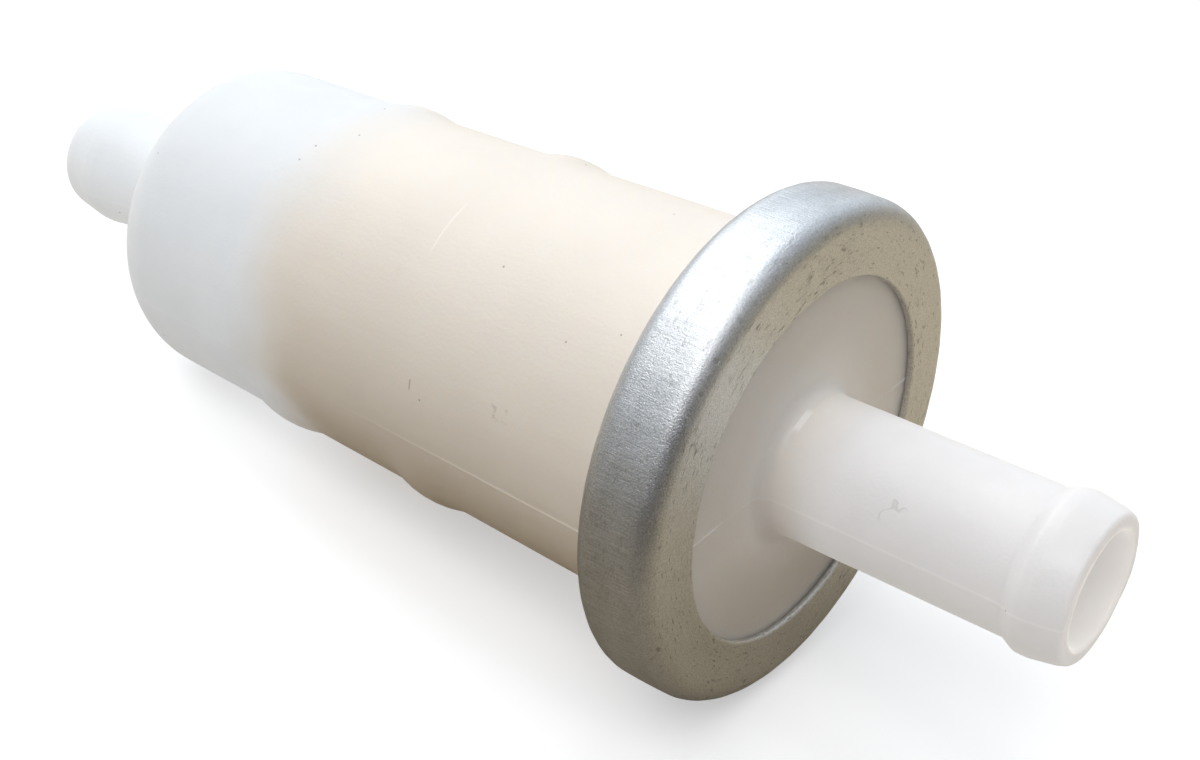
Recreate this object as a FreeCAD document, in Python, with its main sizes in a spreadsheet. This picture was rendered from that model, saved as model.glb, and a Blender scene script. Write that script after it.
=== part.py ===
import FreeCAD, Part
import math
import os
import Sketcher

# Inline fuel filter: a drafted plastic cup with the inlet nipple, an end cap with the outlet nipple, and a
# steel band rolled over their two flanges. A paper element sits on the cap's inner spigot.
#
# The axis of the filter is X, with the outlet towards +X. Every outline below is drawn in a half plane
# through the axis, as (x, radius), with x = 0 on the band's front face. Each body is then placed so that
# the frame's origin is on the axis, midway between the tips of the two nipples.

SIZES = {
    # crimped band
    "band_radius": 17.75,
    "band_width": 6.1,
    "band_sheet": 0.6,
    "band_opening": 12.8,
    "band_rear_opening": 14.6,
    "band_corner": 1.5,
    "sheet_edge": 0.25,
    # flanges and the gasket between them
    "flange_radius": 17.1,
    "flange_thick": 2.0,
    "flange_corner": 1.1,
    "flange_edge": 0.2,
    "flange_fillet": 0.5,
    "gasket_thick": 0.9,
    "gasket_inner": 12.5,
    "gasket_outer": 16.7,
    "gasket_edge": 0.3,
    # end cap
    "cap_wall_radius": 12.05,
    "cap_wall": 1.4,
    "cap_wall_depth": 2.3,
    "cap_wall_fillet": 0.5,
    "cap_wall_edge": 0.3,
    "spigot_radius": 5.0,
    "spigot_depth": 7.4,
    # outlet nipple, for a 10 mm hose
    "outlet_radius": 5.0,
    "outlet_bore": 3.9,
    "outlet_straight": 16.5,
    "outlet_bead": 5.48,
    "outlet_tip": 5.05,
    "outlet_tip_edge": 0.4,
    "outlet_reach": 20.6,
    # inlet nipple, for an 8 mm hose
    "inlet_radius": 4.4,
    "inlet_bore": 3.0,
    "inlet_straight": 67.3,
    "inlet_bead": 4.85,
    "inlet_tip": 4.3,
    "inlet_tip_edge": 1.2,
    "inlet_reach": 72.7,
    # both nipples
    "bead_ramp": 0.9,
    "bead_land": 0.8,
    "bead_round": 0.8,
    "bore_edge": 0.25,
    "root_fillet": 1.1,
    # cup
    "cup_radius": 13.62,
    "cup_far_radius": 12.43,
    "cup_straight": 52.5,
    "cup_wall": 1.4,
    "dome_depth": 3.1,
    "dome_knuckle": 4.7,
    "crown_depth": 5.7,
    "crown_radius": 6.3,
    "crown_round": 6.0,
    "inner_knuckle_lift": 0.91,
    "inner_crown_lift": 1.34,
    "inner_crown_narrow": 0.42,
    "neck_depth": 6.1,
    "mouth_edge": 0.3,
    "near_rib": 25.3,
    "far_rib": 40.2,
    "rib_half_width": 2.25,
    "rib_crest": 0.62,
    "rib_round": 5.0,
    # filter element
    "element_front": 5.6,
    "element_back": 41.3,
    "disc_thick": 1.2,
    "disc_radius": 11.0,
    "disc_rim": 0.45,
    "disc_rim_depth": 2.6,
    "disc_hole": 6.2,
    "disc_edge": 0.4,
    "disc_fine_edge": 0.2,
    "adhesive_thick": 0.9,
    "adhesive_edge": 0.2,
    "adhesive_gap": 0.05,
    "adhesive_underlap": 0.1,
    "wrap_outer": 10.5,
    "wrap_thick": 0.4,
    "pleat_outer": 10.05,
    "pleat_inner": 6.45,
    "pleat_paper": 0.3,
    "pleat_count": 32,
    "core_outer": 6.3,
    "core_inner": 5.3,
    "core_edge": 0.2,
    "core_hole": 1.1,
    "core_hole_pitch": 4.0,
    "core_hole_rows": 7,
    "core_hole_turns": 4,
    "boss_height": 1.6,
    "boss_clearance": 0.15,
    "seal_lip": 7.4,
    "seal_lip_thick": 0.55,
    "seal_lip_edge": 0.25,
    "seal_mouth_edge": 0.15,
    "seal_end_edge": 0.3,
    "seal_end_gap": 0.1,
}


# The curved tube wall makes each hole a little larger than its flat volume.
HOLE_TOLERANCE = 0.1


class Size:
    """A length with its value now and the spreadsheet formula that drives it."""

    def __init__(self, value, formula):
        self.value = value
        self.formula = formula

    def __add__(self, other):
        other = as_size(other)
        return Size(self.value + other.value, f"({self.formula} + {other.formula})")

    def __sub__(self, other):
        other = as_size(other)
        return Size(self.value - other.value, f"({self.formula} - {other.formula})")

    def __mul__(self, other):
        other = as_size(other)
        return Size(self.value * other.value, f"({self.formula} * {other.formula})")

    def __truediv__(self, other):
        other = as_size(other)
        return Size(self.value / other.value, f"({self.formula} / {other.formula})")

    def __neg__(self):
        return Size(-self.value, f"(0 - {self.formula})")


def as_size(number):
    """A plain number as a Size."""
    return number if isinstance(number, Size) else Size(number, repr(number))


def size(alias):
    """The Size of one spreadsheet cell."""
    return Size(SIZES[alias], f"sheet.{alias}")


doc = FreeCAD.newDocument("fuel_filter")
sheet = doc.addObject("Spreadsheet::Sheet", "sheet")
for row, (alias, value) in enumerate(SIZES.items(), start=1):
    sheet.set(f"A{row}", alias)
    sheet.set(f"B{row}", str(value))
    sheet.setAlias(f"B{row}", alias)
doc.recompute()


def place_on_axis(feature):
    """Puts x = 0 of the outlines on the band's front face, with the origin midway between the tips."""
    band_front = (size("inlet_reach") - size("outlet_reach")) / 2
    feature.Placement = FreeCAD.Placement(FreeCAD.Vector(band_front.value, 0, 0), FreeCAD.Rotation())
    feature.setExpression("Placement.Base.x", band_front.formula)


def new_body(label):
    """An empty body, already placed on the filter's axis."""
    body = doc.addObject("PartDesign::Body", label)
    body.Label = label
    place_on_axis(body)
    return body


def new_sketch(body, name, plane_role):
    """A sketch on one of the body's own origin planes."""
    sketch = body.newObject("Sketcher::SketchObject", name)
    plane = [feature for feature in body.Origin.OriginFeatures if feature.Role == plane_role][0]
    sketch.AttachmentSupport = (plane, [""])
    sketch.MapMode = "FlatFace"
    return sketch


def bind(sketch, constraint, formula):
    """Adds a constraint whose value is driven by a spreadsheet formula."""
    index = sketch.addConstraint(constraint)
    sketch.setExpression(f"Constraints[{index}]", formula)


def pin_point(sketch, geometry, end, x, radius):
    """Holds a point of the sketch at (x, radius); a radius of 0 is a point on the axis."""
    bind(sketch, Sketcher.Constraint("DistanceX", geometry, end, x.value), x.formula)
    if radius.value == 0:
        sketch.addConstraint(Sketcher.Constraint("PointOnObject", geometry, end, -1))
    else:
        bind(sketch, Sketcher.Constraint("DistanceY", geometry, end, radius.value), radius.formula)


def rounding(before, corner, after, radius):
    """The two tangent points, the centre and the direction of an arc that rounds a corner."""
    back = (before - corner).normalize()
    ahead = (after - corner).normalize()
    half_angle = back.getAngle(ahead) / 2
    reach = radius / math.tan(half_angle)
    centre = corner + (back + ahead).normalize() * (radius / math.sin(half_angle))
    turns_left = (corner - before).cross(after - corner).z > 0
    return corner + back * reach, corner + ahead * reach, centre, turns_left


def draw_outline(sketch, corners):
    """Draws a closed outline of straight runs through corners, each (x, radius) or (x, radius, rounding)."""
    corners = [tuple(as_size(number) for number in corner) for corner in corners]
    points = [FreeCAD.Vector(corner[0].value, corner[1].value, 0) for corner in corners]
    following = points[1:] + points[:1]
    count = len(points)
    arrive = list(points)
    leave = list(points)
    arcs = {}
    for i, corner in enumerate(corners):
        if len(corner) == 3:
            radius = corner[2].value
            rounded = rounding(points[i - 1], points[i], following[i], radius)
            arrive[i], leave[i], centre, turns_left = rounded
            arcs[i] = (centre, turns_left)
    lines = []
    for i in range(count):
        lines.append(sketch.addGeometry(Part.LineSegment(leave[i], arrive[(i + 1) % count]), False))
    for i, corner in enumerate(corners):
        into, out_of = lines[i - 1], lines[i]
        if i not in arcs:
            sketch.addConstraint(Sketcher.Constraint("Coincident", into, 2, out_of, 1))
            pin_point(sketch, out_of, 1, corner[0], corner[1])
            continue
        centre, turns_left = arcs[i]
        first, last = (arrive[i], leave[i]) if turns_left else (leave[i], arrive[i])
        first_angle = math.atan2(first.y - centre.y, first.x - centre.x)
        last_angle = math.atan2(last.y - centre.y, last.x - centre.x)
        circle = Part.Circle(centre, FreeCAD.Vector(0, 0, 1), corner[2].value)
        arc = sketch.addGeometry(Part.ArcOfCircle(circle, first_angle, last_angle), False)
        arc_in, arc_out = (1, 2) if turns_left else (2, 1)
        sketch.addConstraint(Sketcher.Constraint("Tangent", into, 2, arc, arc_in))
        sketch.addConstraint(Sketcher.Constraint("Tangent", arc, arc_out, out_of, 1))
        bind(sketch, Sketcher.Constraint("Radius", arc, corner[2].value), corner[2].formula)
        vertex = sketch.addGeometry(Part.Point(points[i]), True)
        pin_point(sketch, vertex, 1, corner[0], corner[1])
        sketch.addConstraint(Sketcher.Constraint("PointOnObject", vertex, 1, into))
        sketch.addConstraint(Sketcher.Constraint("PointOnObject", vertex, 1, out_of))


def revolve(body, name, corners):
    """Adds the solid that a closed outline sweeps in a full turn about the filter's axis."""
    sketch = new_sketch(body, name + "_outline", "XZ_Plane")
    draw_outline(sketch, corners)
    turn = body.newObject("PartDesign::Revolution", name)
    turn.Profile = sketch
    turn.ReferenceAxis = (sketch, ["H_Axis"])
    turn.Angle = 360
    sketch.Visibility = False
    doc.recompute()
    return turn


def nipple_outline(end, side):
    """Outer corners of a hose nipple from its straight tube to its tip, then the bore's mouth.

    end is "outlet" or "inlet". side is 1 for a nipple that points to +X and -1 for one that points to -X.
    """
    straight = size(end + "_straight")
    ramp_end = straight + size("bead_ramp")
    land_end = ramp_end + size("bead_land")
    reach = size(end + "_reach")
    bead = size(end + "_bead")
    return [
        (straight * side, size(end + "_radius"), size("bead_round")),
        (ramp_end * side, bead, size("bead_round")),
        (land_end * side, bead, size("bead_round")),
        (reach * side, size(end + "_tip"), size(end + "_tip_edge")),
        (reach * side, size(end + "_bore"), size("bore_edge")),
    ]


def rib_outline(middle, wall_radius, draft):
    """Three corners, nearest the inlet first, of a low rounded rib that swells out of the drafted wall."""
    half = size("rib_half_width")
    return [
        (middle - half, wall_radius - draft * half, size("rib_round")),
        (middle, wall_radius + size("rib_crest"), size("rib_round")),
        (middle + half, wall_radius + draft * half, size("rib_round")),
    ]


def make_end_cap():
    """Cap: flange, locating wall inside the cup's mouth, outlet nipple and the spigot for the element."""
    face = -size("band_sheet")
    back = face - size("flange_thick")
    wall_end = back - size("cap_wall_depth")
    wall = size("cap_wall_radius")
    spigot_end = back - size("spigot_depth")
    body = new_body("end_cap")
    revolve(body, "cap_shell", [
        (face, size("flange_radius"), size("flange_corner")),
        (face, size("outlet_radius"), size("root_fillet")),
        *nipple_outline("outlet", 1),
        (spigot_end, size("outlet_bore"), size("cap_wall_edge")),
        (spigot_end, size("spigot_radius"), size("cap_wall_edge")),
        (back, size("spigot_radius"), size("cap_wall_fillet")),
        (back, wall - size("cap_wall"), size("cap_wall_fillet")),
        (wall_end, wall - size("cap_wall"), size("cap_wall_edge")),
        (wall_end, wall, size("cap_wall_edge")),
        (back, wall),
        (back, size("flange_radius"), size("flange_edge")),
    ])
    return body


def make_cup_housing():
    """Cup: flange, drafted wall with two low ribs round it, domed end and inlet nipple, in one moulding."""
    flange_face = -(size("band_sheet") + size("flange_thick") + size("gasket_thick"))
    flange_back = flange_face - size("flange_thick")
    wall = size("cup_wall")
    mouth_radius = size("cup_radius") - wall
    far_end = -size("cup_straight")
    draft = (size("cup_radius") - size("cup_far_radius")) / (size("cup_straight") + flange_back)
    knuckle = far_end - size("dome_depth")
    knuckle_radius = size("cup_far_radius") - draft * size("dome_depth")
    inner_knuckle_round = size("dome_knuckle") - wall
    crown = far_end - size("crown_depth")
    crown_radius = size("crown_radius")
    neck = far_end - size("neck_depth")
    ribs = []
    for name in ("far_rib", "near_rib"):
        middle = -size(name)
        wall_radius = size("cup_radius") + draft * (middle - flange_back)
        ribs += rib_outline(middle, wall_radius, draft)
    body = new_body("cup_housing")
    revolve(body, "cup_shell", [
        (flange_face, size("flange_radius"), size("flange_edge")),
        (flange_face, mouth_radius, size("mouth_edge")),
        (knuckle + size("inner_knuckle_lift"), knuckle_radius - wall, inner_knuckle_round),
        (crown + size("inner_crown_lift"), crown_radius - size("inner_crown_narrow"), size("crown_round")),
        (neck + wall, size("inlet_bore"), size("flange_fillet")),
        *reversed(nipple_outline("inlet", -1)),
        (neck, size("inlet_radius"), size("root_fillet")),
        (crown, crown_radius, size("crown_round")),
        (knuckle, knuckle_radius, size("dome_knuckle")),
        *ribs,
        (flange_back, size("cup_radius"), size("flange_fillet")),
        (flange_back, size("flange_radius"), size("flange_corner")),
    ])
    return body


def make_crimp_ring():
    """Steel band: a channel-section ring rolled over both flanges."""
    sheet_thick = size("band_sheet")
    inside = size("band_corner") - sheet_thick
    front_inside = -sheet_thick
    rear = -size("band_width")
    rear_inside = rear + sheet_thick
    body = new_body("crimp_ring")
    revolve(body, "rolled_band", [
        (0, size("band_opening"), size("sheet_edge")),
        (front_inside, size("band_opening"), size("sheet_edge")),
        (front_inside, size("band_radius") - sheet_thick, inside),
        (rear_inside, size("band_radius") - sheet_thick, inside),
        (rear_inside, size("band_rear_opening"), size("sheet_edge")),
        (rear, size("band_rear_opening"), size("sheet_edge")),
        (rear, size("band_radius"), size("band_corner")),
        (0, size("band_radius"), size("band_corner")),
    ])
    return body


def make_flange_gasket():
    """Flat rubber ring clamped between the cap's flange and the cup's flange."""
    front = -(size("band_sheet") + size("flange_thick"))
    back = front - size("gasket_thick")
    body = new_body("flange_gasket")
    revolve(body, "gasket_ring", [
        (front, size("gasket_outer"), size("gasket_edge")),
        (front, size("gasket_inner"), size("gasket_edge")),
        (back, size("gasket_inner"), size("gasket_edge")),
        (back, size("gasket_outer"), size("gasket_edge")),
    ])
    return body


def make_open_end_disc():
    """Plastic disc at the outlet end of the element, with a rim round the paper and a hole for the seal."""
    front = -size("element_front")
    inner = front - size("disc_thick")
    body = new_body("open_end_disc")
    revolve(body, "open_disc", [
        (front, size("disc_radius"), size("disc_edge")),
        (front, size("disc_hole"), size("disc_fine_edge")),
        (inner, size("disc_hole"), size("disc_fine_edge")),
        (inner, size("disc_radius") - size("disc_rim")),
        (inner - size("disc_rim_depth"), size("disc_radius") - size("disc_rim")),
        (inner - size("disc_rim_depth"), size("disc_radius"), size("disc_fine_edge")),
    ])
    return body


def make_closed_end_disc():
    """Blind plastic disc at the inlet end of the element, with a rim and a boss inside the support tube."""
    back = -size("element_back")
    inner = back + size("disc_thick")
    boss = size("core_inner") - size("boss_clearance")
    boss_top = inner + size("adhesive_thick") + size("boss_height")
    body = new_body("closed_end_disc")
    revolve(body, "closed_disc", [
        (back, 0),
        (back, size("disc_radius"), size("disc_edge")),
        (inner + size("disc_rim_depth"), size("disc_radius"), size("disc_fine_edge")),
        (inner + size("disc_rim_depth"), size("disc_radius") - size("disc_rim")),
        (inner, size("disc_radius") - size("disc_rim")),
        (inner, boss),
        (boss_top, boss, size("disc_edge")),
        (boss_top, 0),
    ])
    return body


def make_adhesive(label, disc_side, inner_radius):
    """Ring of adhesive that bonds the paper, the wrap and the support tube into an end disc."""
    if disc_side == "outlet":
        disc_face = -(size("element_front") + size("disc_thick"))
        paper_face = disc_face - size("adhesive_thick")
    else:
        disc_face = -(size("element_back") - size("disc_thick"))
        paper_face = disc_face + size("adhesive_thick")
    rim = size("disc_radius") - size("disc_rim")
    body = new_body(label)
    revolve(body, label + "_ring", [
        (disc_face, inner_radius),
        (disc_face, rim),
        (paper_face, rim, size("adhesive_edge")),
        (paper_face, inner_radius, size("adhesive_edge")),
    ])
    return body


def element_span():
    """The two ends, nearer the outlet first, of everything that runs between the adhesive rings."""
    near = -(size("element_front") + size("disc_thick") + size("adhesive_thick"))
    far = -(size("element_back") - size("disc_thick") - size("adhesive_thick"))
    return near, far


def make_element_wrap():
    """Porous paper sleeve round the outside of the pleats."""
    near, far = element_span()
    inner = size("wrap_outer") - size("wrap_thick")
    body = new_body("element_wrap")
    revolve(body, "wrap_sleeve", [
        (near, size("wrap_outer")),
        (near, inner),
        (far, inner),
        (far, size("wrap_outer")),
    ])
    return body


def make_support_tube():
    """Perforated tube inside the pleats, which keeps them from collapsing inwards."""
    near, far = element_span()
    rows = int(SIZES["core_hole_rows"])
    middle = (near + far) / 2
    body = new_body("support_tube")
    plain_tube = revolve(body, "tube_wall", [
        (near, size("core_outer"), size("core_edge")),
        (near, size("core_inner"), size("core_edge")),
        (far, size("core_inner"), size("core_edge")),
        (far, size("core_outer"), size("core_edge")),
    ])
    plain_volume = plain_tube.Shape.Volume
    sketch = new_sketch(body, "hole_row", "XZ_Plane")
    for row in range(rows):
        x = middle + size("core_hole_pitch") * (row - (rows - 1) / 2)
        circle = Part.Circle(FreeCAD.Vector(x.value, 0, 0), FreeCAD.Vector(0, 0, 1), SIZES["core_hole"])
        hole = sketch.addGeometry(circle, False)
        bind(sketch, Sketcher.Constraint("Radius", hole, SIZES["core_hole"]), "sheet.core_hole")
        pin_point(sketch, hole, 3, x, as_size(0))
    row_of_holes = body.newObject("PartDesign::Pocket", "row_of_holes")
    row_of_holes.Profile = sketch
    row_of_holes.Type = "ThroughAll"
    row_of_holes.Midplane = True
    sketch.Visibility = False
    doc.recompute()
    turns = int(SIZES["core_hole_turns"])
    pattern = body.newObject("PartDesign::PolarPattern", "rows_round_tube")
    pattern.Originals = [row_of_holes]
    axis = [feature for feature in body.Origin.OriginFeatures if feature.Role == "X_Axis"][0]
    pattern.Axis = (axis, [""])
    pattern.Angle = 180 - 180 / turns
    pattern.Occurrences = turns
    body.Tip = pattern
    doc.recompute()
    hole_volume = math.pi * SIZES["core_hole"] ** 2 * (SIZES["core_outer"] - SIZES["core_inner"])
    removed = plain_volume - body.Shape.Volume
    expected = hole_volume * rows * turns * 2
    if abs(removed - expected) > HOLE_TOLERANCE * expected:
        raise RuntimeError(f"support tube holes removed {removed:.1f} mm3, not {expected:.1f}")
    return body


def make_pleated_paper():
    """Star-folded ring of filter paper, of even thickness between its fold lines."""
    near, far = element_span()
    pleats = int(SIZES["pleat_count"])
    paper = SIZES["pleat_paper"]
    outer, inner = SIZES["pleat_outer"], SIZES["pleat_inner"]
    half_pitch = math.pi / pleats
    flank_angle = math.atan2(inner * math.sin(half_pitch), outer - inner * math.cos(half_pitch))
    outer_fold = paper / math.sin(flank_angle)
    inner_fold = paper / math.sin(flank_angle + half_pitch)

    def star(crest, valley):
        """A closed zigzag wire with a crest at every pleat and a valley between neighbours."""
        points = []
        for i in range(2 * pleats):
            radius = valley if i % 2 else crest
            angle = i * half_pitch
            points.append(FreeCAD.Vector(near.value, radius * math.cos(angle), radius * math.sin(angle)))
        return Part.makePolygon(points + [points[0]])

    outside = Part.Face(star(outer, inner + inner_fold))
    inside = Part.Face(star(outer - outer_fold, inner))
    length = FreeCAD.Vector(far.value - near.value, 0, 0)
    feature = doc.addObject("Part::Feature", "pleated_paper")
    feature.Label = "pleated_paper"
    feature.Shape = outside.extrude(length).cut(inside.extrude(length))
    place_on_axis(feature)
    return feature


def make_element_seal():
    """Rubber grommet in the open end disc, which seals the element on the cap's spigot."""
    disc_front = -size("element_front")
    lip_front = disc_front + size("seal_lip_thick")
    sleeve_end = disc_front - size("disc_thick") - size("adhesive_thick") + size("seal_end_gap")
    body = new_body("element_seal")
    revolve(body, "seal_grommet", [
        (lip_front, size("spigot_radius"), size("seal_mouth_edge")),
        (sleeve_end, size("spigot_radius"), size("seal_end_edge")),
        (sleeve_end, size("disc_hole"), size("seal_end_edge")),
        (disc_front, size("disc_hole")),
        (disc_front, size("seal_lip")),
        (lip_front, size("seal_lip"), size("seal_lip_edge")),
    ])
    return body


def check(features):
    """Stops if any object failed or any sub-part isn't one valid closed solid."""
    for item in doc.Objects:
        if "Invalid" in item.State or "Error" in item.State:
            raise RuntimeError(f"{item.Label} failed: {item.State}")
    for feature in features:
        shape = feature.Shape
        if shape.isNull() or not shape.isValid() or len(shape.Solids) != 1:
            raise RuntimeError(f"{feature.Label} isn't one valid solid")


sub_parts = [
    make_cup_housing(),
    make_end_cap(),
    make_crimp_ring(),
    make_flange_gasket(),
    make_element_wrap(),
    make_pleated_paper(),
    make_support_tube(),
    make_open_end_disc(),
    make_closed_end_disc(),
    make_adhesive("open_end_adhesive", "outlet", size("disc_hole") + size("adhesive_gap")),
    make_adhesive("closed_end_adhesive", "inlet", size("core_inner") - size("adhesive_underlap")),
    make_element_seal(),
]
doc.recompute()
check(sub_parts)

os.makedirs("parts", exist_ok=True)
for sub_part in sub_parts:
    box = sub_part.Shape.optimalBoundingBox(False)
    sub_part.Shape.exportStep(f"parts/{sub_part.Label}.step")
    span = f"x {box.XMin:.2f} to {box.XMax:.2f}, radius {box.YMax:.2f}"
    print(f"{sub_part.Label}: {sub_part.Shape.Volume:.1f} mm3, {span}")
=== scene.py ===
import math

import bmesh
import bpy
from mathutils import Matrix, Vector, noise


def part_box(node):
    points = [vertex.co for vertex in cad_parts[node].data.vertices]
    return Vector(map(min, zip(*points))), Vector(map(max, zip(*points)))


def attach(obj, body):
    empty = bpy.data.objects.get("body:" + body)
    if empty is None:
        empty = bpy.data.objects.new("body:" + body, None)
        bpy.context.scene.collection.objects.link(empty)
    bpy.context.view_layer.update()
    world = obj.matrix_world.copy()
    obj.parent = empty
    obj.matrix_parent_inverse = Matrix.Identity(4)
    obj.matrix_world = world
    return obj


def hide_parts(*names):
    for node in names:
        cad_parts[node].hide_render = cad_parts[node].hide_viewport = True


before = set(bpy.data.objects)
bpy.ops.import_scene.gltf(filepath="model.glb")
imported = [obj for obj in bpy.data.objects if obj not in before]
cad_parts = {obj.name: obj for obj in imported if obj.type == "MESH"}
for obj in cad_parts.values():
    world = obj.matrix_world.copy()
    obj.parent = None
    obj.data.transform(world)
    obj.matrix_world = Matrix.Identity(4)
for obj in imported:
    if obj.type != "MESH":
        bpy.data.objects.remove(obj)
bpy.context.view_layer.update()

# The looks of an inline fuel filter. The moulded cup, the end cap and the rolled steel band get finer
# meshes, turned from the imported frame's own outlines. The pieces inside keep their CAD meshes.
#
# The filter's axis is X, through the frame's origin, with the outlet at +X. Angles are round the axis, from
# +Z towards +Y. Lengths are in metres.

MM = 0.001
WELD = 1e-6

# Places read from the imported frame.
RING_LOW, RING_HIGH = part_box("crimp_ring")
RING_FRONT = RING_HIGH.x
RING_BACK = RING_LOW.x
RING_RADIUS = RING_HIGH.z
INLET_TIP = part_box("cup_housing")[0].x
OUTLET_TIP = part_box("end_cap")[1].x
ELEMENT_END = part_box("closed_end_disc")[0].x

# The planes through the axis in which the two moulds part.
CUP_PARTING = math.radians(-99.0)
CAP_PARTING = math.radians(-90.5)

# How fine the turned meshes are. Each seam has SEAM_STEPS closer sectors, SEAM_DEGREES wide, to each side.
CUP_STEP = 0.5 * MM
CAP_STEP = 0.4 * MM
BAND_STEP = 0.25 * MM
CUP_SECTORS = 240
CAP_SECTORS = 200
BAND_SECTORS = 360
SEAM_DEGREES = 0.2
SEAM_STEPS = 10


# ---------------------------------------------------------------- pieces turned from the frame's outlines

def outline_of(node):
    """The closed outline of a turned CAD piece in order, as (x, radius) Vectors.

    It is read along the closed line of edges that the piece's mesh has in the half plane through +Z.
    """
    mesh = bmesh.new()
    mesh.from_mesh(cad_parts[node].data)
    bmesh.ops.remove_doubles(mesh, verts=mesh.verts, dist=WELD)
    on_seam = {point for point in mesh.verts if abs(point.co.y) < WELD and point.co.z > 0}
    joined = {point: [] for point in on_seam}
    for edge in mesh.edges:
        first, last = edge.verts
        if first in on_seam and last in on_seam:
            joined[first].append(last)
            joined[last].append(first)
    start = here = next(point for point in mesh.verts if point in on_seam)
    before = None
    points = []
    while here is not start or before is None:
        points.append(Vector((here.co.x, here.co.z)))
        onward = [end for end in joined[here] if end is not before]
        before, here = here, onward[0]
    mesh.free()
    return points


def divided(points, step):
    """The same closed outline, with every run longer than step divided evenly."""
    finer = []
    for i, point in enumerate(points):
        following = points[(i + 1) % len(points)]
        parts = max(1, math.ceil((following - point).length / step))
        finer += [point.lerp(following, part / parts) for part in range(parts)]
    return finer


def outward(points):
    """The outward normal at each point of a closed outline."""
    count = len(points)
    area = sum(points[i - 1].cross(points[i]) for i in range(count))
    side = 1.0 if area > 0 else -1.0
    normals = []
    for i in range(count):
        along = (points[(i + 1) % count] - points[i - 1]).normalized()
        normals.append(Vector((along.y, -along.x)) * side)
    return normals


def sector_angles(count, parting):
    """Angles round the axis, evenly spaced, with close ones across both parting seams."""
    seam_half = math.radians(SEAM_DEGREES * SEAM_STEPS)
    close = [math.radians(SEAM_DEGREES * k) for k in range(-SEAM_STEPS, SEAM_STEPS + 1)]
    angles = []
    for seam in (parting, parting + math.pi):
        angles += [(seam + turn) % math.tau for turn in close]
    for i in range(count):
        angle = math.tau * i / count
        if abs(math.sin(angle - parting)) > math.sin(seam_half):
            angles.append(angle)
    return sorted(angles)


def turned_piece(name, node, step, sectors, parting, relief, material):
    """Turns a CAD piece's outline into a fine mesh, moved along its normals by relief, and stands it in."""
    outline = divided(outline_of(node), step)
    normals = outward(outline)
    angles = sector_angles(sectors, parting)
    points = []
    for angle in angles:
        for place, normal in zip(outline, normals):
            moved = place + normal * relief(place.x, place.y, angle, normal)
            points.append((moved.x, moved.y * math.sin(angle), moved.y * math.cos(angle)))
    row = len(outline)
    faces = []
    for i in range(len(angles)):
        this, other = i * row, (i + 1) % len(angles) * row
        for j in range(row):
            k = (j + 1) % row
            faces.append((this + j, this + k, other + k, other + j))
    data = bpy.data.meshes.new(name)
    data.from_pydata(points, [], faces)
    mesh = bmesh.new()
    mesh.from_mesh(data)
    bmesh.ops.recalc_face_normals(mesh, faces=mesh.faces)
    for face in mesh.faces:
        face.smooth = True
    mesh.to_mesh(data)
    mesh.free()
    data.materials.append(material)
    piece = bpy.data.objects.new(name, data)
    bpy.context.scene.collection.objects.link(piece)
    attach(piece, "root")
    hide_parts(node)
    return piece


# ---------------------------------------------------------------- relief of the turned pieces

def held(value, low=0.0):
    """The value, held between low and 1."""
    return min(max(value, low), 1.0)


def eased(share):
    """A share from 0 to 1 with a slow start and end."""
    return share * share * (3.0 - 2.0 * share)


def swell(x, radius, angle, wave, seed):
    """Smooth noise from -1 to 1 on the piece's surface. wave is the size of its waves."""
    place = Vector((x, radius * math.sin(angle), radius * math.cos(angle)))
    return noise.noise(place / wave + Vector((seed, seed, seed)))


def seam_ridge(radius, angle, parting, height, width):
    """The height of the fine ridge that the mould leaves along its parting plane."""
    off_plane = radius * math.sin(angle - parting)
    return height * math.exp(-((off_plane / width) ** 2))


def outer_radius(points, x):
    """The radius of an outline's outermost point close to that x."""
    close = 0.5 * MM
    return max(point.y for point in points if abs(point.x - x) < close)


# A normal that leans away from the axis by less than this share belongs to a face square to the axis.
FLAT = 0.05

# The cup's drafted wall, and the two ribs round it. They fade by the cosine of the angle from
# RIB_FADE_MIDDLE: they have their full height up to RIB_FADE_START, and are gone RIB_FADE_SPAN later.
CUP_OUTLINE = divided(outline_of("cup_housing"), CUP_STEP)
WALL_NEAR = RING_BACK - 2.0 * MM
WALL_FAR = ELEMENT_END - 9.0 * MM
WALL_RADIUS = outer_radius(CUP_OUTLINE, WALL_NEAR)
WALL_SLOPE = (WALL_RADIUS - outer_radius(CUP_OUTLINE, WALL_FAR)) / (WALL_NEAR - WALL_FAR)
RIB_FADE_MIDDLE = math.radians(-48.0)
RIB_FADE_START = 0.20
RIB_FADE_SPAN = 0.40

# The slope behind the inlet's bead, and the share of the CAD's step that it fills.
BEAD_BACK = INLET_TIP + 4.4 * MM
BEAD_SLOPE = 4.6 * MM
BEAD_FILLED = 0.8
BEAD_RADIUS = outer_radius(CUP_OUTLINE, BEAD_BACK)
TUBE_RADIUS = outer_radius(CUP_OUTLINE, BEAD_BACK + BEAD_SLOPE)

# The cup's parting ridge grows towards the band, in proportion to the way past RIDGE_START. It has its full
# height after RIDGE_RISE, and never less than RIDGE_LEAST of it.
RIDGE_START = -6.0 * MM
RIDGE_RISE = 14.0 * MM
RIDGE_LEAST = 0.25

# The end cap's face, which starts outside the nipple's root. Two weld lines cross it. Each fades in over
# WELD_FADE, and the one on the side of -Y starts nearer the root.
CAP_FACE = RING_FRONT - 0.6 * MM
FACE_ROOT = 7.0 * MM
WELD_FADE = 1.6 * MM
FAR_WELD_START = 10.9 * MM
NEAR_WELD_START = 8.5 * MM

# The band: chatter marks left by the roller, dents where the noise passes DENT_START, and a crowned side.
CHATTER_MARKS = 40.0
DENT_START = 0.55
CROWN = 0.5 * MM


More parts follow.
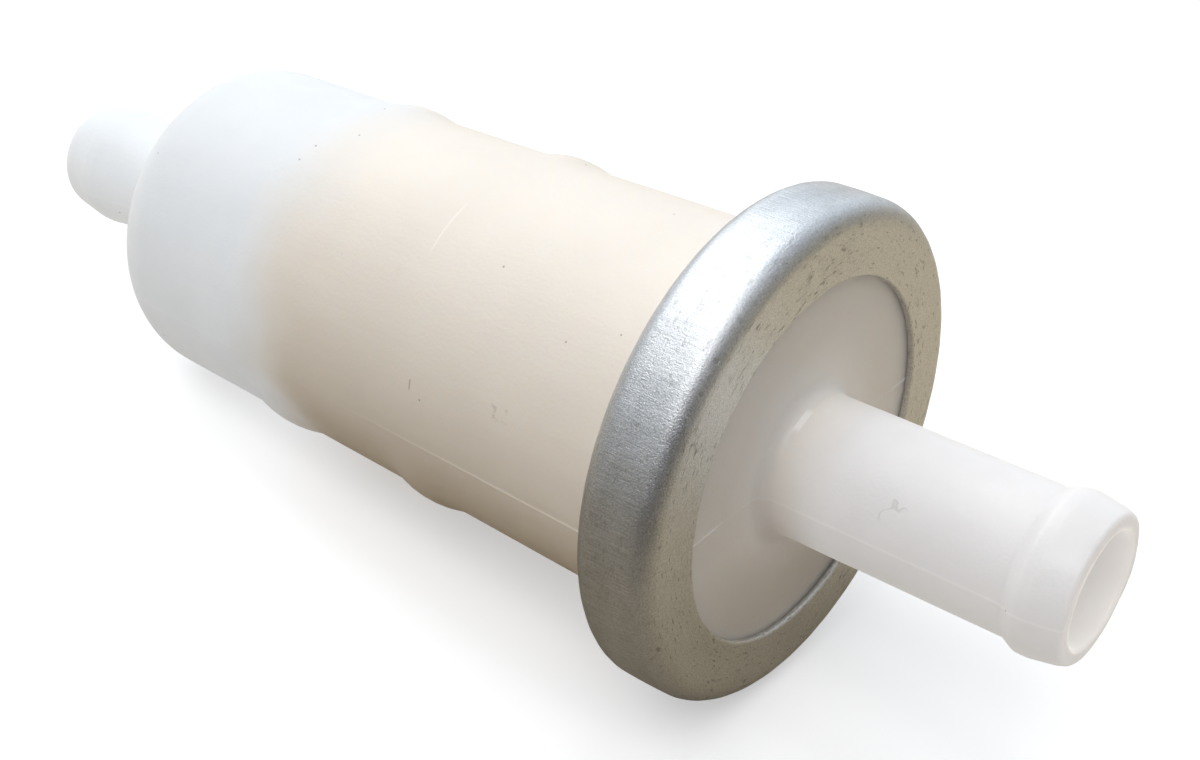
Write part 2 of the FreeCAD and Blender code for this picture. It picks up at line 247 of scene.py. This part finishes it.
def bead_fill(x, radius):
    """Fills the step behind the inlet's bead, so that the bead rises out of the tube in a long slope."""
    away = (x - BEAD_BACK) / BEAD_SLOPE
    if away <= 0.0 or away >= 1.0:
        return 0.0
    slope = TUBE_RADIUS + (BEAD_RADIUS - TUBE_RADIUS) * (1.0 - eased(away))
    return BEAD_FILLED * max(slope - radius, 0.0)


def rib_fade(x, radius, angle):
    """How far the ribs sink back into the drafted wall: they stand out only along two opposite sides."""
    wall = WALL_RADIUS + WALL_SLOPE * (x - WALL_NEAR)
    height = max(radius - wall, 0.0)
    away = (abs(math.cos(angle - RIB_FADE_MIDDLE)) - RIB_FADE_START) / RIB_FADE_SPAN
    return -height * eased(held(away))


def cup_relief(x, radius, angle, normal):
    """The cup's outside: fading ribs, a sloping bead, slow sink marks and two parting ridges."""
    if normal.y < FLAT or x > RING_BACK + MM:
        return 0.0
    if x < INLET_TIP + MM:
        return -0.03 * MM * (1.0 + swell(x, radius, angle, wave=3.0 * MM, seed=7.0))
    fade = rib_fade(x, radius, angle) if WALL_FAR < x < WALL_NEAR else 0.0
    sink = 0.035 * MM * swell(x, radius, angle, wave=9.0 * MM, seed=3.0)
    near_band = held((x - RIDGE_START) / RIDGE_RISE, RIDGE_LEAST)
    uneven = near_band * (0.6 + 0.4 * swell(x, radius, angle, wave=2.5 * MM, seed=8.0))
    ridge = seam_ridge(radius, angle, CUP_PARTING, height=0.05 * MM, width=0.13 * MM) * uneven
    return fade + bead_fill(x, radius) + sink + ridge


def cap_relief(x, radius, angle, normal):
    """The cap's face and nipple: slow waves, ridges on the nipple and weld lines across the face."""
    in_bore = normal.y < -FLAT
    under_face = x < CAP_FACE - 0.1 * MM
    if in_bore or under_face:
        return 0.0
    if radius > FACE_ROOT:
        weld_start = NEAR_WELD_START if math.sin(angle) < 0 else FAR_WELD_START
        reach = held((radius - weld_start) / WELD_FADE)
        wave = -0.02 * MM * (1.0 + swell(x, radius, angle, wave=5.0 * MM, seed=5.0))
        return wave + seam_ridge(radius, angle, CAP_PARTING, height=0.04 * MM, width=0.12 * MM) * reach
    if OUTLET_TIP - x < 0.5 * MM:
        return -0.05 * MM * (1.0 + swell(x, radius, angle, wave=2.2 * MM, seed=7.0))
    wave = 0.02 * MM * swell(x, radius, angle, wave=4.0 * MM, seed=6.0)
    return wave + seam_ridge(radius, angle, CAP_PARTING, height=0.018 * MM, width=0.11 * MM)


def ring_relief(x, radius, angle, normal):
    """Rolled steel isn't quite even: shallow ripples and chatter from the roller, and small dents."""
    ripple = -0.02 * MM * (1.0 + swell(x, radius, angle, wave=6.0 * MM, seed=1.0))
    shift = 3.0 * swell(x, radius, angle, wave=12.0 * MM, seed=4.0)
    chatter = -0.006 * MM * (1.0 + math.sin(angle * CHATTER_MARKS + shift))
    dent = -0.06 * MM * max(0.0, swell(x, radius, angle, wave=1.6 * MM, seed=2.0) - DENT_START)
    off_middle = (x - 0.5 * (RING_FRONT + RING_BACK)) / (RING_FRONT - RING_BACK)
    crown = -CROWN * off_middle ** 2 * max(normal.y, 0.0)
    return ripple + chatter + crown + dent


# ---------------------------------------------------------------- node helpers

class Nodes:
    """A short way to add and link shader nodes in one node tree."""

    def __init__(self, tree):
        self.tree = tree
        self.tree.nodes.clear()

    def add(self, kind, inputs=None, **settings):
        """A node of that kind. inputs maps socket names or numbers to values or to other nodes' outputs."""
        node = self.tree.nodes.new("ShaderNode" + kind)
        for name, value in settings.items():
            setattr(node, name, value)
        for name, value in (inputs or {}).items():
            self.feed(node, name, value)
        return node

    def feed(self, node, name, value):
        """Links an output to an input, or sets the input's value."""
        socket = node.inputs[name]
        if isinstance(value, bpy.types.NodeSocket):
            self.tree.links.new(value, socket)
        else:
            socket.default_value = value

    def math(self, operation, a, b=0.0, clamp=False):
        """The output of a Math node."""
        return self.add("Math", {0: a, 1: b}, operation=operation, use_clamp=clamp).outputs[0]

    def plus(self, a, b):
        """The sum of two values."""
        return self.math("ADD", a, b)

    def minus(self, a, b):
        """The first value less the second."""
        return self.math("SUBTRACT", a, b)

    def times(self, a, b):
        """The product of two values."""
        return self.math("MULTIPLY", a, b)

    def span(self, value, low, high, to_low=0.0, to_high=1.0, smooth=False):
        """value mapped from low..high to to_low..to_high, and held at the ends."""
        inputs = {"Value": value, "From Min": low, "From Max": high, "To Min": to_low, "To Max": to_high}
        kind = "SMOOTHSTEP" if smooth else "LINEAR"
        return self.add("MapRange", inputs, interpolation_type=kind).outputs["Result"]

    def mix(self, share, first, second, blend="MIX"):
        """A colour between first and second."""
        node = self.add("Mix", {"Factor": share}, data_type="RGBA", blend_type=blend)
        self.feed(node, 6, first)
        self.feed(node, 7, second)
        return node.outputs[2]

    def noise(self, vector, scale, detail=4.0, rough=0.5):
        """Noise from 0 to 1 at that many cycles per metre."""
        inputs = {"Vector": vector, "Scale": scale, "Detail": detail, "Roughness": rough}
        return self.add("TexNoise", inputs).outputs["Fac"]


class Coat(Nodes):
    """The nodes of one material, with the place on the filter as x, y, z and radius."""

    def __init__(self, name):
        self.material = bpy.data.materials.new(name)
        self.material.use_nodes = True
        super().__init__(self.material.node_tree)
        self.place = self.add("TexCoord").outputs["Object"]
        parts = self.add("SeparateXYZ", {"Vector": self.place}).outputs
        self.x, self.y, self.z = parts["X"], parts["Y"], parts["Z"]
        squares = self.plus(self.times(self.y, self.y), self.times(self.z, self.z))
        self.radius = self.math("SQRT", squares)

    def drawn_out(self, x, y, z):
        """Texture coordinates from three scaled distances."""
        return self.add("CombineXYZ", {"X": x, "Y": y, "Z": z}).outputs["Vector"]

    def round_the_axis(self, across, along):
        """Coordinates in which marks run round the axis. across is their fine scale, along the slow one."""
        crosswise = self.times(self.plus(self.x, self.radius), across)
        return self.drawn_out(crosswise, self.times(self.y, along), self.times(self.z, along))

    def along_the_axis(self, along, across):
        """Coordinates in which marks run along the axis. across is their fine scale, along the slow one."""
        lengthwise = self.times(self.x, along)
        return self.drawn_out(lengthwise, self.times(self.y, across), self.times(self.z, across))

    def specks(self, vector, scale, size, share):
        """1 on small scattered specks: size is their radius in cells, share the part of cells with one."""
        cells = self.add("TexVoronoi", {"Vector": vector, "Scale": scale})
        dot = self.span(cells.outputs["Distance"], size, size * 0.5, smooth=True)
        chosen = self.add("SeparateColor", {"Color": cells.outputs["Color"]}).outputs["Red"]
        return self.times(dot, self.math("LESS_THAN", chosen, share))

    def seam(self, parting, width):
        """1 on the two lines where the surface crosses the mould's parting plane."""
        across = self.times(self.y, math.cos(parting))
        down = self.times(self.z, math.sin(parting))
        off_plane = self.math("ABSOLUTE", self.minus(across, down))
        return self.span(off_plane, width, 0.3 * width, smooth=True)

    def mark(self, x, degrees, length, width, bend=0.0):
        """1 on one short mark round the axis at that place. Its ends are bent along X by bend."""
        angle = math.radians(degrees)
        sine, cosine = math.sin(angle), math.cos(angle)
        along = self.plus(self.times(self.y, sine), self.times(self.z, cosine))
        across = self.minus(self.times(self.y, cosine), self.times(self.z, sine))
        share = self.math("DIVIDE", across, 0.5 * length)
        middle = self.plus(self.times(self.times(share, share), bend), x)
        off_line = self.math("DIVIDE", self.minus(self.x, middle), 0.5 * width)
        far = self.math("MAXIMUM", self.math("ABSOLUTE", share), self.math("ABSOLUTE", off_line))
        same_side = self.math("GREATER_THAN", along, 0.0)
        return self.times(self.span(far, 1.0, 0.5, smooth=True), same_side)

    def bump(self, height, strength, distance, under=None):
        """A normal bent by a height field, on top of another bump if one is given."""
        inputs = {"Height": height, "Strength": strength, "Distance": distance}
        if under is not None:
            inputs["Normal"] = under
        return self.add("Bump", inputs).outputs["Normal"]

    def finish(self, **inputs):
        """Ends the material with a Principled shader; input names have _ for each space."""
        named = {name.replace("_", " "): value for name, value in inputs.items()}
        shader = self.add("BsdfPrincipled", named)
        output = self.add("OutputMaterial")
        self.tree.links.new(shader.outputs["BSDF"], output.inputs["Surface"])
        return self.material


def rgba(red, green, blue):
    """An opaque linear colour."""
    return (red, green, blue, 1.0)


WHITE = rgba(1.0, 1.0, 1.0)


# ---------------------------------------------------------------- materials

def cup_nylon():
    """Natural nylon: milky where the cup is empty, and tan where the element behind the wall shows through.

    The light that the wall carries is painted in as a glow. It is weaker over the element, and weakest
    under the cup next to the band, where the tan is also painted darker and browner as shade.
    """
    n = Coat("housing_nylon")
    cloud = n.noise(n.place, scale=110.0, detail=3.0)
    milk = n.mix(cloud, rgba(0.365, 0.385, 0.40), rgba(0.395, 0.41, 0.42))
    tan = n.mix(cloud, rgba(0.63, 0.59, 0.54), rgba(0.68, 0.65, 0.60))
    drift = n.span(n.noise(n.place, scale=130.0, detail=2.0), 0.3, 0.7, -1.5 * MM, 1.5 * MM)
    shows = n.span(n.plus(n.x, drift), ELEMENT_END - 2.2 * MM, ELEMENT_END + 8.0 * MM, smooth=True)
    # Painted shade: under the cup, more so next to the band, the tan is painted darker and browner.
    below = n.span(n.z, -1.0 * MM, -11.0 * MM)
    under = n.times(below, n.span(n.x, ELEMENT_END, RING_BACK, 0.3, 1.0))
    tan = n.mix(n.times(under, 0.9), tan, rgba(0.53, 0.43, 0.30))
    colour = n.mix(shows, milk, tan)

    blotch = n.span(n.noise(n.place, scale=420.0, detail=5.0, rough=0.6), 0.62, 0.8, smooth=True)
    colour = n.mix(n.times(blotch, 0.10), colour, rgba(0.45, 0.38, 0.30))
    dirt = n.times(n.specks(n.place, scale=430.0, size=0.050, share=0.85), 0.65)
    colour = n.mix(dirt, colour, rgba(0.22, 0.17, 0.13))
    scuffs = n.specks(n.along_the_axis(1.0, 4.5), scale=140.0, size=0.035, share=0.10)
    colour = n.mix(n.times(scuffs, 0.5), colour, rgba(0.30, 0.26, 0.22))
    # The parting seam is painted lighter, more so towards the band.
    light_seam = n.times(n.seam(CUP_PARTING, width=0.16 * MM), n.span(n.x, -4.0 * MM, 12.0 * MM, 0.03, 0.70))
    colour = n.mix(light_seam, colour, rgba(0.95, 0.91, 0.85))
    # A painted highlight: a short light arc across the near rib, where the rib itself has faded.
    rib_highlight = n.mark(x=0.25 * MM, degrees=-30.0, length=5.2 * MM, width=0.20 * MM, bend=0.12 * MM)
    colour = n.mix(n.times(rib_highlight, 0.2), colour, rgba(0.97, 0.95, 0.92))
    nick = n.mark(x=2.3 * MM, degrees=-78.5, length=1.0 * MM, width=0.17 * MM, bend=0.05 * MM)
    smudge_and_highlight = n.span(n.noise(n.place, scale=1500.0, detail=3.0), 0.55, 0.62, smooth=True)
    smudge = n.times(n.mark(x=10.3 * MM, degrees=-74.0, length=1.4 * MM, width=1.9 * MM), smudge_and_highlight)
    marks = n.math("ADD", n.times(nick, 0.45), n.times(smudge, 0.25), clamp=True)
    colour = n.mix(marks, colour, rgba(0.24, 0.19, 0.15))

    light = n.mix(shows, rgba(0.96, 0.98, 1.00), rgba(1.0, 0.81, 0.58))
    glow = n.times(n.span(shows, 0.0, 1.0, 0.41, 0.138), n.span(cloud, 0.3, 0.7, 0.95, 1.05))
    shaded = n.times(shows, n.times(under, 0.75))
    glow = n.times(glow, n.minus(1.0, shaded))
    in_nipple = n.span(n.x, INLET_TIP + 15.0 * MM, INLET_TIP + 9.0 * MM, 1.0, 1.12)
    glow = n.times(glow, in_nipple)
    glow = n.times(glow, n.minus(1.0, n.math("MAXIMUM", marks, dirt)))

    grain = n.bump(n.noise(n.place, scale=3800.0, detail=3.0), strength=0.20, distance=0.1 * MM)
    streaks = n.noise(n.along_the_axis(60.0, 420.0), scale=1.0, detail=3.0)
    flow = n.bump(streaks, strength=0.18, distance=0.3 * MM, under=grain)
    rough = n.span(n.noise(n.place, scale=380.0, detail=5.0), 0.3, 0.7, 0.36, 0.50)
    return n.finish(
        Base_Color=colour, Roughness=rough, Normal=flow, Subsurface_Weight=1.0,
        Subsurface_Radius=(1.0, 0.85, 0.7), Subsurface_Scale=1.1 * MM, IOR=1.5,
        Emission_Color=light, Emission_Strength=glow,
    )


def cap_nylon():
    """The cap's nylon: white in its nipple, and greyer in the face that lies over the dark gasket.

    The nipple carries more light than the face, so it glows, and its bore is brightest at the mouth.
    """
    n = Coat("cap_nylon")
    cloud = n.noise(n.place, scale=150.0)
    white = n.mix(cloud, rgba(0.41, 0.405, 0.405), rgba(0.45, 0.445, 0.445))
    grey = n.mix(cloud, rgba(0.74, 0.69, 0.62), rgba(0.80, 0.75, 0.68))
    # Painted shade: the face is painted darker and browner towards the bottom.
    below = n.span(n.z, -3.0 * MM, -11.0 * MM, 0.0, 0.4)
    grey = n.mix(below, grey, rgba(0.40, 0.34, 0.27))
    on_face = n.span(n.x, RING_FRONT + 5.0 * MM, RING_FRONT - 0.2 * MM, smooth=True)
    # Painted light: near the nipple's root the face takes on some of the nipple's colour and glow.
    on_face = n.times(on_face, n.span(n.radius, 5.0 * MM, 9.5 * MM, 0.76, 1.0, smooth=True))
    colour = n.mix(on_face, white, grey)

    dirt = n.times(n.specks(n.place, scale=420.0, size=0.05, share=0.16), 0.6)
    colour = n.mix(dirt, colour, rgba(0.26, 0.15, 0.12))
    scuffs = n.specks(n.along_the_axis(1.0, 4.0), scale=220.0, size=0.03, share=0.10)
    colour = n.mix(n.times(scuffs, 0.35), colour, rgba(0.40, 0.37, 0.35))
    near_side = n.math("LESS_THAN", n.y, 0.0)
    weld_start = n.span(near_side, 0.0, 1.0, FAR_WELD_START, NEAR_WELD_START - 0.1 * MM)
    on_outer_face = n.span(n.minus(n.radius, weld_start), 0.0, WELD_FADE)
    on_outside = n.span(n.radius, 4.3 * MM, 4.6 * MM, 0.0, 0.10)
    weld = n.times(n.seam(CAP_PARTING, width=0.15 * MM), n.math("MAXIMUM", on_outer_face, on_outside))
    colour = n.mix(n.times(weld, 0.8), colour, rgba(0.98, 0.96, 0.93))
    off_line = n.math("ABSOLUTE", n.minus(n.noise(n.place, scale=620.0, detail=1.0), 0.5))
    strand = n.span(off_line, 0.016, 0.003, smooth=True)
    hair_place = n.mark(x=34.5 * MM, degrees=-58.5, length=2.2 * MM, width=2.6 * MM)
    hair = n.times(n.times(strand, hair_place), 0.2)
    colour = n.mix(hair, colour, rgba(0.25, 0.20, 0.17))
    # A painted highlight: a short bright crescent on the fillet at the nipple's root.
    smudge_and_highlight = n.mark(x=RING_FRONT + 0.35 * MM, degrees=-24.0, length=2.2 * MM, width=0.55 * MM)
    colour = n.mix(n.times(smudge_and_highlight, 0.45), colour, rgba(0.97, 0.96, 0.95))
    # Painted shade in the bore: its colour is a little darker and warmer, and its glow is dimmer deep
    # inside than at the mouth.
    in_bore = n.span(n.radius, 4.3 * MM, 4.0 * MM)
    colour = n.mix(in_bore, colour, rgba(0.40, 0.37, 0.33))

    glow = n.times(n.span(on_face, 0.0, 1.0, 0.385, 0.03), n.span(cloud, 0.3, 0.7, 0.96, 1.04))
    near_mouth = n.span(n.x, OUTLET_TIP - 4.0 * MM, OUTLET_TIP, 0.80, 1.26)
    glow = n.times(glow, n.mix(in_bore, WHITE, near_mouth))
    glow = n.times(glow, n.minus(1.0, n.math("MAXIMUM", hair, dirt)))

    grain = n.bump(n.noise(n.place, scale=4200.0, detail=3.0), strength=0.22, distance=0.1 * MM)
    flow = n.bump(n.noise(n.place, scale=500.0, detail=3.0), strength=0.12, distance=0.3 * MM, under=grain)
    rough = n.span(n.noise(n.place, scale=450.0, detail=5.0), 0.3, 0.7, 0.33, 0.45)
    return n.finish(
        Base_Color=colour, Roughness=rough, Normal=flow, Subsurface_Weight=1.0,
        Subsurface_Radius=(1.0, 0.85, 0.75), Subsurface_Scale=1.8 * MM, IOR=1.5,
        Emission_Color=rgba(1.0, 0.98, 0.97), Emission_Strength=glow,
    )


def zinc_plate():
    """Bright zinc on rolled steel: frosted, brushed across the band, scored round it, pitted in front."""
    n = Coat("zinc_plate")
    front = n.span(n.x, RING_FRONT - 0.7 * MM, RING_FRONT - 0.1 * MM)
    frost = n.noise(n.place, scale=8500.0, detail=3.0, rough=0.7)
    brushed = n.noise(n.along_the_axis(480.0, 13000.0), scale=1.0, detail=3.0, rough=0.65)
    lines = n.noise(n.round_the_axis(5200.0, 260.0), scale=1.0, detail=3.0, rough=0.6)
    patch = n.noise(n.round_the_axis(420.0, 110.0), scale=1.0, rough=0.6)
    bright = n.mix(patch, rgba(0.50, 0.52, 0.54), rgba(0.78, 0.79, 0.80))
    dull = n.mix(patch, rgba(0.64, 0.63, 0.585), rgba(0.77, 0.76, 0.71))
    colour = n.mix(front, bright, dull)
    sparkle = n.span(n.plus(frost, brushed), 0.75, 1.25, 0.74, 1.16)
    sparkle_grey = n.add("CombineColor", {0: sparkle, 1: sparkle, 2: sparkle}).outputs[0]
    colour = n.mix(1.0, colour, sparkle_grey, blend="MULTIPLY")

    pits = n.specks(n.round_the_axis(2900.0, 800.0), scale=1.0, size=0.20, share=0.5)
    cluster = n.span(n.noise(n.place, scale=240.0, detail=3.0), 0.42, 0.60, 0.25, 1.0, smooth=True)
    scratches = n.noise(n.round_the_axis(3300.0, 1100.0), scale=1.0, detail=3.0, rough=0.6)
    scores = n.span(scratches, 0.56, 0.70, smooth=True)
    dark = n.math("MAXIMUM", n.times(pits, 0.8), n.times(scores, cluster))
    damage = n.times(dark, n.span(front, 0.0, 1.0, 0.22, 0.55))
    colour = n.mix(damage, colour, rgba(0.16, 0.14, 0.11))
    stain = n.span(n.noise(n.place, scale=190.0, detail=5.0, rough=0.65), 0.55, 0.75, smooth=True)
    colour = n.mix(n.times(stain, 0.25), colour, rgba(0.42, 0.40, 0.34))

    even = n.span(n.plus(frost, patch), 0.7, 1.3, 0.27, 0.45)
    rough = n.plus(even, n.times(damage, 0.3))
    frosted = n.bump(frost, strength=0.6, distance=0.06 * MM)
    brushing = n.bump(brushed, strength=0.32, distance=0.05 * MM, under=frosted)
    drawn = n.bump(lines, strength=0.40, distance=0.05 * MM, under=brushing)
    pitted = n.bump(n.minus(1.0, damage), strength=0.5, distance=0.1 * MM, under=drawn)
    return n.finish(Base_Color=colour, Metallic=1.0, Roughness=rough, Normal=pitted)


def filter_paper():
    """Resin-treated filter paper: tangled fibres over a soft, slightly fuzzy sheet."""
    n = Coat("filter_paper")
    cloud = n.noise(n.place, scale=700.0)
    colour = n.mix(cloud, rgba(0.62, 0.49, 0.31), rgba(0.74, 0.61, 0.42))
    lengthwise = n.noise(n.along_the_axis(900.0, 7000.0), scale=1.0, detail=3.0, rough=0.6)
    crosswise = n.noise(n.round_the_axis(7000.0, 900.0), scale=1.0, detail=3.0, rough=0.6)
    fibres = n.math("MAXIMUM", lengthwise, crosswise)
    strand = n.span(fibres, 0.55, 0.72, smooth=True)
    colour = n.mix(n.times(strand, 0.45), colour, rgba(0.86, 0.76, 0.58))
    felt = n.bump(fibres, strength=0.7, distance=0.12 * MM)
    return n.finish(Base_Color=colour, Roughness=0.92, Normal=felt, Sheen_Weight=0.25)


def rubber(name):
    """Black nitrile rubber with a fine matt skin and a little bloom."""
    n = Coat(name)
    bloom = n.span(n.noise(n.place, scale=600.0, detail=5.0, rough=0.6), 0.45, 0.75, smooth=True)
    colour = n.mix(bloom, rgba(0.025, 0.025, 0.027), rgba(0.085, 0.083, 0.080))
    skin = n.bump(n.noise(n.place, scale=5200.0, detail=3.0), strength=0.4, distance=0.08 * MM)
    rough = n.span(bloom, 0.0, 1.0, 0.55, 0.75)
    return n.finish(Base_Color=colour, Roughness=rough, Normal=skin)


def set_adhesive(name):
    """Amber plastisol adhesive, glossy, with small bubbles caught in it."""
    n = Coat(name)
    cloud = n.noise(n.place, scale=450.0)
    colour = n.mix(cloud, rgba(0.52, 0.33, 0.12), rgba(0.68, 0.49, 0.24))
    bubbles = n.specks(n.place, scale=900.0, size=0.28, share=0.5)
    colour = n.mix(n.times(bubbles, 0.6), colour, rgba(0.85, 0.72, 0.50))
    pools = n.bump(n.noise(n.place, scale=900.0, detail=2.0), strength=0.4, distance=0.2 * MM)
    return n.finish(
        Base_Color=colour, Roughness=0.28, Normal=pools, Subsurface_Weight=0.4,
        Subsurface_Radius=(1.0, 0.6, 0.3), Subsurface_Scale=0.6 * MM,
    )


def moulded(name, dark, light, rough):
    """Opaque moulded plastic with flow marks and a fine grain."""
    n = Coat(name)
    flow = n.noise(n.round_the_axis(500.0, 180.0), scale=1.0)
    colour = n.mix(flow, dark, light)
    dirt = n.specks(n.place, scale=700.0, size=0.07, share=0.5)
    colour = n.mix(n.times(dirt, 0.4), colour, rgba(0.30, 0.26, 0.22))
    grain = n.bump(n.noise(n.place, scale=3500.0, detail=3.0), strength=0.25, distance=0.1 * MM)
    gloss = n.span(n.noise(n.place, scale=600.0), 0.3, 0.7, rough - 0.08, rough + 0.08)
    return n.finish(Base_Color=colour, Roughness=gloss, Normal=grain)


def paint(node, material):
    """Gives a CAD node one material."""
    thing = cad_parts[node]
    thing.data.materials.clear()
    thing.data.materials.append(material)
    for face in thing.data.polygons:
        face.material_index = 0


turned_piece(
    "cup_moulding", "cup_housing",
    CUP_STEP, CUP_SECTORS, CUP_PARTING, cup_relief, cup_nylon(),
)
turned_piece(
    "cap_moulding", "end_cap",
    CAP_STEP, CAP_SECTORS, CAP_PARTING, cap_relief, cap_nylon(),
)
turned_piece(
    "rolled_band", "crimp_ring",
    BAND_STEP, BAND_SECTORS, 0.0, ring_relief, zinc_plate(),
)
paint("element_wrap", filter_paper())
paint("pleated_paper", filter_paper())
paint("flange_gasket", rubber("gasket_rubber"))
paint("element_seal", rubber("seal_rubber"))
paint("open_end_adhesive", set_adhesive("open_end_plastisol"))
paint("closed_end_adhesive", set_adhesive("closed_end_plastisol"))
paint("support_tube", moulded("tube_plastic", rgba(0.70, 0.70, 0.67), rgba(0.80, 0.80, 0.77), 0.5))
for disc in ("open", "closed"):
    disc_plastic = moulded(disc + "_disc_plastic", rgba(0.58, 0.54, 0.46), rgba(0.70, 0.66, 0.58), 0.45)
    paint(disc + "_end_disc", disc_plastic)


# ---------------------------------------------------------------- floor, light and camera

# The viewpoint: its angles in degrees, and its place from the band's front face, in radii of the band.
CAMERA_AZIMUTH = 40.37
CAMERA_ELEVATION = 34.31
CAMERA_BACK = 6.773
CAMERA_LEFT = 1.033
CAMERA_UP = 0.05
FOCAL_LENGTH = 55.06
LENS_SHIFT = 0.0583

# Where the floor touches the band's rim and the far end of the cup's wall.
RIM_REST = RING_BACK + 2.0 * MM
CUP_REST_RADIUS = 12.9 * MM
FLOOR_SIZE = 6.0


def make_floor():
    """A wide plain floor, tilted so that it touches the band's rim and the cup's far end.

    The camera sees it near white. The light that it throws back on the filter is that of a brown table,
    bright behind the filter and beyond its inlet, and dark under the person in front.
    """
    near = Vector((RIM_REST, 0.0, -RING_RADIUS))
    far = Vector((ELEMENT_END, 0.0, -CUP_REST_RADIUS))
    slope = math.atan2(far.z - near.z, near.x - far.x)
    bpy.ops.mesh.primitive_plane_add(size=FLOOR_SIZE, location=near)
    floor = bpy.context.object
    floor.name = "floor"
    floor.rotation_euler = (0.0, slope, 0.0)
    n = Coat("floor_paper")
    seen = n.add("LightPath").outputs["Is Camera Ray"]
    behind = n.plus(n.times(n.x, 0.5), n.times(n.y, 0.85))
    lit_behind = n.span(behind, -0.045, 0.07, smooth=True)
    lit_beyond_inlet = n.span(n.x, -0.04, -0.16, 0.0, 0.9)
    lit = n.math("MAXIMUM", lit_behind, lit_beyond_inlet)
    table = n.mix(lit, rgba(0.212, 0.174, 0.124), rgba(0.61, 0.525, 0.395))
    toward_person = n.minus(n.times(n.x, 0.66), n.times(n.y, 0.75))
    table = n.mix(n.span(toward_person, 0.03, 0.13, smooth=True), table, rgba(0.07, 0.058, 0.042))
    colour = n.mix(seen, table, rgba(0.62, 0.62, 0.62))
    lift = n.times(seen, 0.46)
    paper = n.finish(Base_Color=colour, Roughness=0.9, Emission_Color=WHITE, Emission_Strength=lift)
    floor.data.materials.append(paper)


def area_light(name, place, size, power, colour):
    """A rectangular light at place, turned to face the frame's origin."""
    data = bpy.data.lights.new(name, "AREA")
    data.shape = "RECTANGLE"
    data.size, data.size_y = size
    data.energy = power
    data.color = colour
    lamp = bpy.data.objects.new(name, data)
    bpy.context.scene.collection.objects.link(lamp)
    lamp.location = place
    lamp.rotation_mode = "QUATERNION"
    lamp.rotation_quaternion = (-Vector(place)).to_track_quat("-Z", "Y")


def make_camera():
    """A camera at the viewpoint, with its own axes built from the two angles."""
    azimuth, elevation = math.radians(CAMERA_AZIMUTH), math.radians(CAMERA_ELEVATION)
    level = math.cos(elevation)
    right = Vector((math.cos(azimuth), math.sin(azimuth), 0.0))
    back = Vector((math.sin(azimuth) * level, -math.cos(azimuth) * level, math.sin(elevation)))
    up = back.cross(right)
    ring_face = Vector((RING_FRONT, 0.0, 0.0))
    data = bpy.data.cameras.new("camera")
    data.sensor_width = 36.0
    data.lens = FOCAL_LENGTH
    data.shift_x = LENS_SHIFT
    data.shift_y = LENS_SHIFT
    data.clip_start = 0.005
    data.clip_end = 20.0
    camera = bpy.data.objects.new("camera", data)
    bpy.context.scene.collection.objects.link(camera)
    away = CAMERA_BACK * back - CAMERA_LEFT * right + CAMERA_UP * up
    camera.location = ring_face + RING_RADIUS * away
    camera.rotation_mode = "QUATERNION"
    camera.rotation_quaternion = Matrix((right, up, back)).transposed().to_quaternion()
    bpy.context.scene.camera = camera


def make_world():
    """White to the camera. To the filter, a room with a bright window behind and a dark person in front."""
    world = bpy.data.worlds.new("studio")
    bpy.context.scene.world = world
    world.use_nodes = True
    n = Nodes(world.node_tree)
    direction = n.add("TexCoord").outputs["Generated"]

    def facing(towards, start, full):
        """0 to 1 as the direction turns towards a place, by the cosine of the angle between them."""
        inputs = {0: direction, 1: Vector(towards).normalized()}
        cosine = n.add("VectorMath", inputs, operation="DOT_PRODUCT").outputs["Value"]
        return n.span(cosine, start, full, smooth=True)

    height = n.add("SeparateXYZ", {"Vector": direction}).outputs["Z"]
    room = n.mix(n.span(height, 0.0, 0.8), rgba(0.24, 0.225, 0.20), rgba(0.50, 0.53, 0.58))
    left = n.mix(facing((-0.95, -0.25, 0.10), 0.30, 0.90), room, rgba(0.37, 0.405, 0.45))
    window = n.mix(facing((-0.52, 0.66, 0.50), 0.45, 0.85), left, rgba(1.00, 1.09, 1.19))
    person = n.mix(facing((0.66, -0.74, 0.05), 0.62, 0.90), window, rgba(0.04, 0.04, 0.05))
    seen = n.add("LightPath").outputs["Is Camera Ray"]
    colour = n.mix(seen, person, WHITE)
    background = n.add("Background", {"Color": colour}).outputs["Background"]
    output = n.add("OutputWorld")
    n.tree.links.new(background, output.inputs["Surface"])


bpy.context.scene.view_settings.view_transform = "Standard"
make_floor()
make_world()
make_camera()
area_light("key", place=(-0.25, 0.03, 0.44), size=(0.57, 0.34), power=1.12, colour=(1.0, 0.99, 0.98))
area_light("lamp", place=(0.02, 0.0, 0.46), size=(0.07, 0.07), power=0.14, colour=(1.0, 0.99, 0.97))
area_light("front", place=(0.11, -0.28, 0.45), size=(0.36, 0.30), power=1.16, colour=(1.0, 0.99, 0.98))
